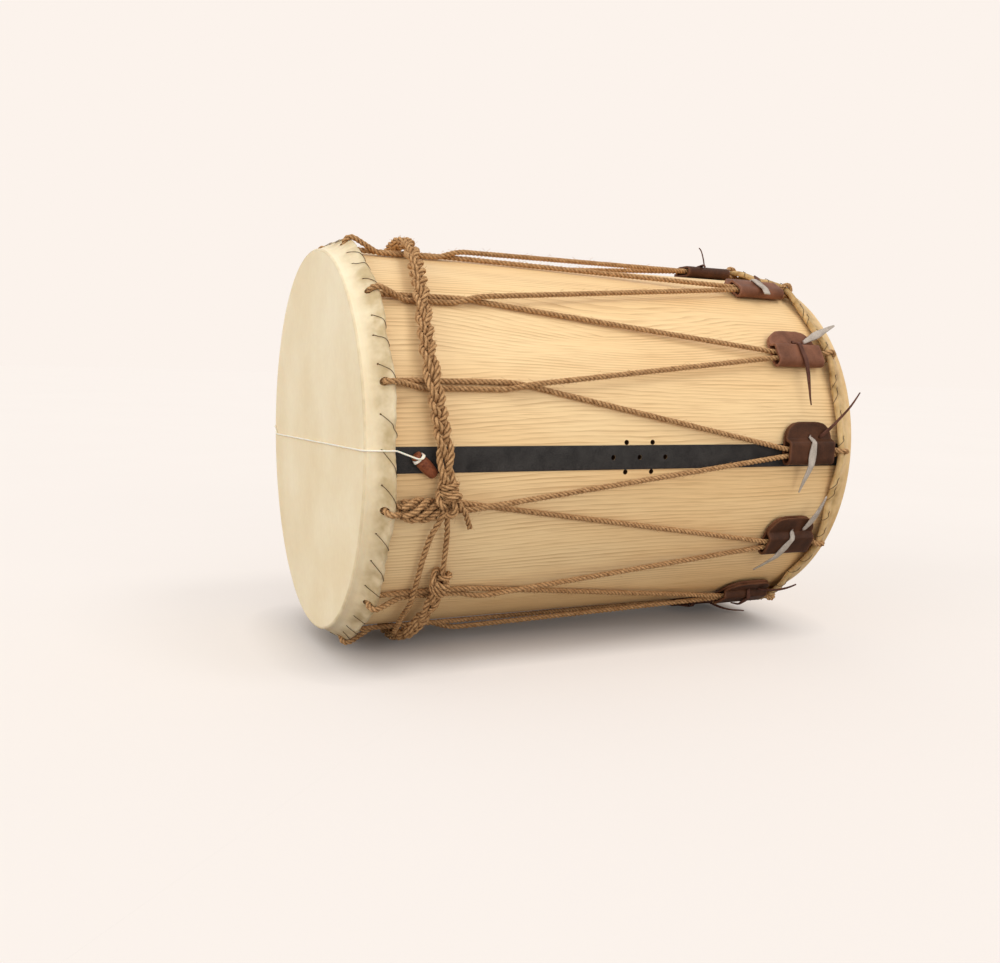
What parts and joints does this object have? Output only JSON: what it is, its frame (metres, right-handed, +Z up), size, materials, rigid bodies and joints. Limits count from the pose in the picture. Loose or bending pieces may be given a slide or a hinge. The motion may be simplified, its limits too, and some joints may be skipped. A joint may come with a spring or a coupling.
{
  "type": "rope-tension tabor drum",
  "caption": "Double-headed wooden drum lying on its side, with rawhide heads laced by a zigzag rope, sliding leather tugs that tighten it, a gut snare and a plaited carry rope.",
  "frame": {"origin": "middle of the bottom of the part's box, on the surface the drum lies on", "axes": "+X along the drum's axis from the batter head to the tugs, +Z up, -Y towards the seam strip"},
  "size_m": [0.4638, 0.3642, 0.3757],
  "materials": {
    "shell_wood": "satin, straight grained",
    "ring_wood": "planed",
    "strip_leather": "black, fine grained",
    "batter_rawhide": "cream rawhide",
    "lower_rawhide": "tan rawhide",
    "cane": "round cane",
    "rope": "laid brown rope",
    "tug_leather": "red-brown, waxed",
    "lace_leather": "thong, pale flesh side",
    "toggle_leather": "red-brown",
    "gut": "twisted gut"
  },
  "bodies": {
    "drum": {"shell": "shell_wood", "batter_reinforcing_ring": "ring_wood", "lower_reinforcing_ring": "ring_wood", "seam_strip": "strip_leather", "batter_head": "batter_rawhide", "lower_head": "lower_rawhide", "batter_flesh_hoop": "cane", "lower_flesh_hoop": "cane", "tension_rope": "rope", "rope_whipping": "rope", "carry_rope_plait": "rope", "carry_rope_upper_knot": "rope", "carry_rope_lower_knot": "rope", "carry_rope_rear_tail": "rope", "carry_rope_front_tail": "rope", "carry_rope_free_end": "rope", "snare_toggle": "toggle_leather", "snare_gut": "gut"},
    "sliding_tug_01": {"tug_01": "tug_leather", "tug_lace_01": "lace_leather"},
    "sliding_tug_02": {"tug_02": "tug_leather", "tug_lace_02": "lace_leather"},
    "sliding_tug_03": {"tug_03": "tug_leather", "tug_lace_03": "lace_leather"},
    "sliding_tug_04": {"tug_04": "tug_leather", "tug_lace_04": "lace_leather"},
    "sliding_tug_05": {"tug_05": "tug_leather", "tug_lace_05": "lace_leather"},
    "sliding_tug_06": {"tug_06": "tug_leather", "tug_lace_06": "lace_leather"},
    "sliding_tug_07": {"tug_07": "tug_leather", "tug_lace_07": "lace_leather"},
    "sliding_tug_08": {"tug_08": "tug_leather", "tug_lace_08": "lace_leather"},
    "sliding_tug_09": {"tug_09": "tug_leather", "tug_lace_09": "lace_leather"},
    "sliding_tug_10": {"tug_10": "tug_leather", "tug_lace_10": "lace_leather"},
    "sliding_tug_11": {"tug_11": "tug_leather", "tug_lace_11": "lace_leather"},
    "sliding_tug_12": {"tug_12": "tug_leather", "tug_lace_12": "lace_leather"}
  },
  "joints": [
    {"name": "tug_slide_01", "type": "slide", "parent": "drum", "child": "sliding_tug_01", "axis": [-1, 0, 0], "range_m": [0, 0.018]},
    {"name": "tug_slide_02", "type": "slide", "parent": "drum", "child": "sliding_tug_02", "axis": [-1, 0, 0], "range_m": [0, 0.018]},
    {"name": "tug_slide_03", "type": "slide", "parent": "drum", "child": "sliding_tug_03", "axis": [-1, 0, 0], "range_m": [0, 0.018]},
    {"name": "tug_slide_04", "type": "slide", "parent": "drum", "child": "sliding_tug_04", "axis": [-1, 0, 0], "range_m": [0, 0.018]},
    {"name": "tug_slide_05", "type": "slide", "parent": "drum", "child": "sliding_tug_05", "axis": [-1, 0, 0], "range_m": [0, 0.018]},
    {"name": "tug_slide_06", "type": "slide", "parent": "drum", "child": "sliding_tug_06", "axis": [-1, 0, 0], "range_m": [0, 0.018]},
    {"name": "tug_slide_07", "type": "slide", "parent": "drum", "child": "sliding_tug_07", "axis": [-1, 0, 0], "range_m": [0, 0.018]},
    {"name": "tug_slide_08", "type": "slide", "parent": "drum", "child": "sliding_tug_08", "axis": [-1, 0, 0], "range_m": [0, 0.018]},
    {"name": "tug_slide_09", "type": "slide", "parent": "drum", "child": "sliding_tug_09", "axis": [-1, 0, 0], "range_m": [0, 0.018]},
    {"name": "tug_slide_10", "type": "slide", "parent": "drum", "child": "sliding_tug_10", "axis": [-1, 0, 0], "range_m": [0, 0.018]},
    {"name": "tug_slide_11", "type": "slide", "parent": "drum", "child": "sliding_tug_11", "axis": [-1, 0, 0], "range_m": [0, 0.018]},
    {"name": "tug_slide_12", "type": "slide", "parent": "drum", "child": "sliding_tug_12", "axis": [-1, 0, 0], "range_m": [0, 0.018]}
  ]
}
